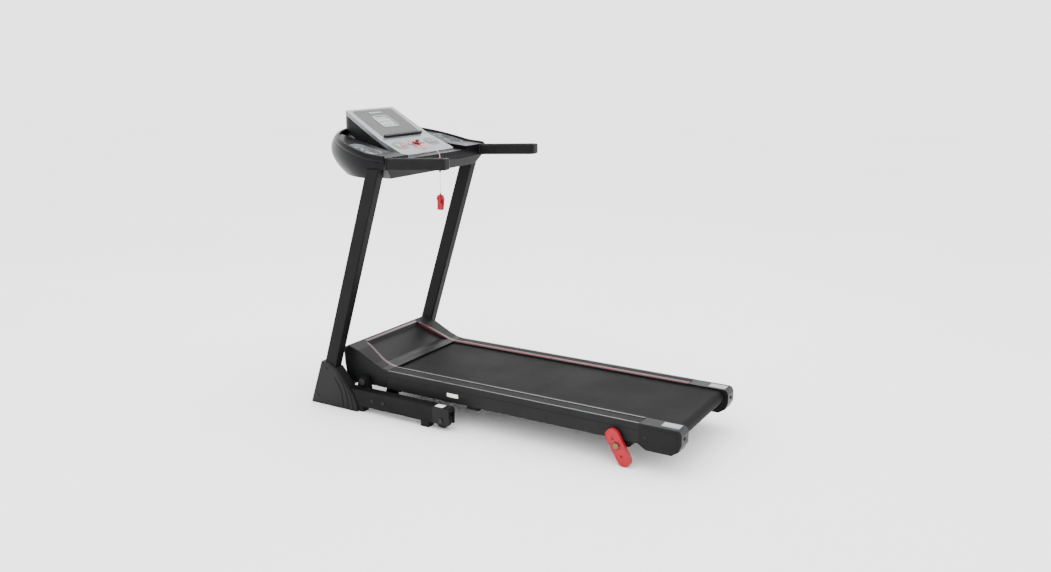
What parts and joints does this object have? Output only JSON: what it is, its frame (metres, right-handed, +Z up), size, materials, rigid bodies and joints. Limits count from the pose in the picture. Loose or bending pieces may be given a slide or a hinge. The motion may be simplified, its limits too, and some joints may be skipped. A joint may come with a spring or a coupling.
{
  "type": "folding motorised treadmill",
  "caption": "Folding home treadmill with flat running deck, motor hood, leaning uprights, tray dashboard, key-operated console and flip-over red incline feet",
  "frame": {"origin": "centre of the whole machine's bounding box, on the floor plane", "axes": "+X runs from the motor hood back to the end of the deck, +Y is the walker's right as they face the console, +Z is up"},
  "size_m": [1.5319, 0.66, 1.113],
  "materials": {
    "powder_black": "black powder coat, fine satin texture",
    "bare_steel": "turned and zinc plated steel",
    "chrome_rod": "hard chromed and polished",
    "frame_plastic": "black moulded plastic, fine spark texture",
    "silver_plastic": "silver painted moulding",
    "face_plastic": "dark grey printed face",
    "screen": "clear window over a grey display",
    "button_plastic": "soft grey keycap",
    "red_plastic": "bright red moulding",
    "cord_pink": "thin braided cord",
    "belt_pvc": "black fine-grained belt surface",
    "black_rubber": "black rubber",
    "foam": "black foam grip",
    "board_wood": "dense fibreboard with phenolic faces",
    "motor_metal": "satin black motor can",
    "board_green": "green circuit board",
    "controller_metal": "die cast heat sink"
  },
  "bodies": {
    "base": {"base_cross_tube": "powder_black", "base_rails": "powder_black", "floor_pads": "black_rubber", "wheel_forks": "frame_plastic", "wheel_axles": "bare_steel", "uprights": "powder_black", "foot_covers": "frame_plastic", "handlebars": "powder_black", "grips": "foam", "grip_caps": "frame_plastic", "hinge_plates": "powder_black", "fold_pivot_bolts": "bare_steel", "strut_base_bracket": "powder_black", "strut_base_pin": "bare_steel", "dashboard_bowl": "frame_plastic", "dashboard_lid": "frame_plastic", "tray_liners": "silver_plastic", "console_cross_tube": "powder_black", "console_shell": "silver_plastic", "display_face": "face_plastic", "lcd_window": "screen", "tablet_ledge": "frame_plastic", "console_circuit_board": "board_green", "display_back_cover": "frame_plastic"},
    "deck": {"deck_side_tubes": "powder_black", "deck_cross_tubes": "powder_black", "running_board": "board_wood", "board_cushions": "black_rubber", "running_belt": "belt_pvc", "foot_rails": "frame_plastic", "end_caps": "frame_plastic", "roller_axles": "bare_steel", "motor_hood": "frame_plastic", "belly_pan": "frame_plastic", "drive_motor": "motor_metal", "drive_belt": "black_rubber", "motor_controller": "controller_metal", "power_inlet": "frame_plastic", "foot_brackets": "powder_black", "foot_bolts": "bare_steel"},
    "front_roller": {"front_roller": "bare_steel"},
    "rear_roller": {"rear_roller": "bare_steel"},
    "motor_rotor": {"motor_rotor": "bare_steel"},
    "power_switch": {"power_switch": "red_plastic"},
    "strut_cylinder": {"strut_cylinder": "powder_black"},
    "strut_rod": {"strut_rod": "chrome_rod"},
    "incline_foot_left": {"incline_foot_left": "red_plastic"},
    "incline_foot_right": {"incline_foot_right": "red_plastic"},
    "wheel_left": {"wheel_left": "black_rubber"},
    "wheel_right": {"wheel_right": "black_rubber"},
    "safety_key": {"safety_key": "red_plastic", "safety_lanyard": "cord_pink", "lanyard_clip": "red_plastic"},
    "clip_lever": {"clip_lever": "red_plastic"},
    "button_start": {"button_start": "button_plastic"},
    "button_stop": {"button_stop": "button_plastic"},
    "button_slower": {"button_slower": "button_plastic"},
    "button_faster": {"button_faster": "button_plastic"},
    "button_mode": {"button_mode": "button_plastic"},
    "button_program": {"button_program": "button_plastic"}
  },
  "joints": [
    {"name": "deck_fold", "type": "hinge", "parent": "base", "child": "deck", "pos_m": [-0.515, 0, 0.105], "axis": [0, -1, 0], "range_deg": [0, 67]},
    {"name": "front_roller_spin", "type": "hinge", "parent": "deck", "child": "front_roller", "pos_m": [-0.495, 0, 0.1267], "axis": [0, 1, 0], "continuous": true},
    {"name": "rear_roller_spin", "type": "hinge", "parent": "deck", "child": "rear_roller", "pos_m": [0.728, 0, 0.1267], "axis": [0, 1, 0], "continuous": true},
    {"name": "motor_spin", "type": "hinge", "parent": "deck", "child": "motor_rotor", "pos_m": [-0.568, 0, 0.154], "axis": [0, 1, 0], "continuous": true},
    {"name": "power_rock", "type": "hinge", "parent": "deck", "child": "power_switch", "pos_m": [-0.622, 0, 0.174], "axis": [0, 1, 0], "range_deg": [0, 12]},
    {"name": "strut_tilt", "type": "hinge", "parent": "base", "child": "strut_cylinder", "pos_m": [-0.39, -0.208, 0.074], "axis": [0, -1, 0], "range_deg": [0, 79.12]},
    {"name": "strut_stroke", "type": "slide", "parent": "strut_cylinder", "child": "strut_rod", "axis": [0.9921, 0, 0.1257], "range_m": [0, 0.12596]},
    {"name": "left_foot_turn", "type": "hinge", "parent": "deck", "child": "incline_foot_left", "pos_m": [0.548, -0.266, 0.071], "axis": [0, -1, 0], "range_deg": [-150, 0]},
    {"name": "right_foot_turn", "type": "hinge", "parent": "deck", "child": "incline_foot_right", "pos_m": [0.548, 0.266, 0.071], "axis": [0, -1, 0], "range_deg": [-150, 0]},
    {"name": "left_wheel_spin", "type": "hinge", "parent": "base", "child": "wheel_left", "pos_m": [-0.125, -0.302, 0.038], "axis": [0, 1, 0], "continuous": true},
    {"name": "right_wheel_spin", "type": "hinge", "parent": "base", "child": "wheel_right", "pos_m": [-0.125, 0.302, 0.038], "axis": [0, 1, 0], "continuous": true},
    {"name": "key_pull", "type": "slide", "parent": "base", "child": "safety_key", "axis": [0.3967, 0, 0.9179], "range_m": [0, 0.012]},
    {"name": "clip_squeeze", "type": "hinge", "parent": "safety_key", "child": "clip_lever", "pos_m": [-0.335, -0.0065, 0.785], "axis": [-1, 0, 0], "range_deg": [0, 12], "stiffness_Nm_per_rad": 0.02},
    {"name": "start_press", "type": "slide", "parent": "base", "child": "button_start", "axis": [-0.3967, 0, -0.9179], "range_m": [0, 0.0012], "stiffness_N_per_m": 400},
    {"name": "stop_press", "type": "slide", "parent": "base", "child": "button_stop", "axis": [-0.3967, 0, -0.9179], "range_m": [0, 0.0012], "stiffness_N_per_m": 400},
    {"name": "slower_press", "type": "slide", "parent": "base", "child": "button_slower", "axis": [-0.3967, 0, -0.9179], "range_m": [0, 0.0012], "stiffness_N_per_m": 400},
    {"name": "faster_press", "type": "slide", "parent": "base", "child": "button_faster", "axis": [-0.3967, 0, -0.9179], "range_m": [0, 0.0012], "stiffness_N_per_m": 400},
    {"name": "mode_press", "type": "slide", "parent": "base", "child": "button_mode", "axis": [-0.3967, 0, -0.9179], "range_m": [0, 0.0012], "stiffness_N_per_m": 400},
    {"name": "program_press", "type": "slide", "parent": "base", "child": "button_program", "axis": [-0.3967, 0, -0.9179], "range_m": [0, 0.0012], "stiffness_N_per_m": 400}
  ],
  "couplings": [
    {"joint": "rear_roller_spin", "follows": "front_roller_spin", "ratio": 1},
    {"joint": "motor_spin", "follows": "front_roller_spin", "ratio": 2.6505},
    {"joint": "strut_tilt", "follows": "deck_fold", "ratio": 1.166},
    {"joint": "strut_stroke", "follows": "deck_fold", "m_per_rad": 0.10601}
  ]
}
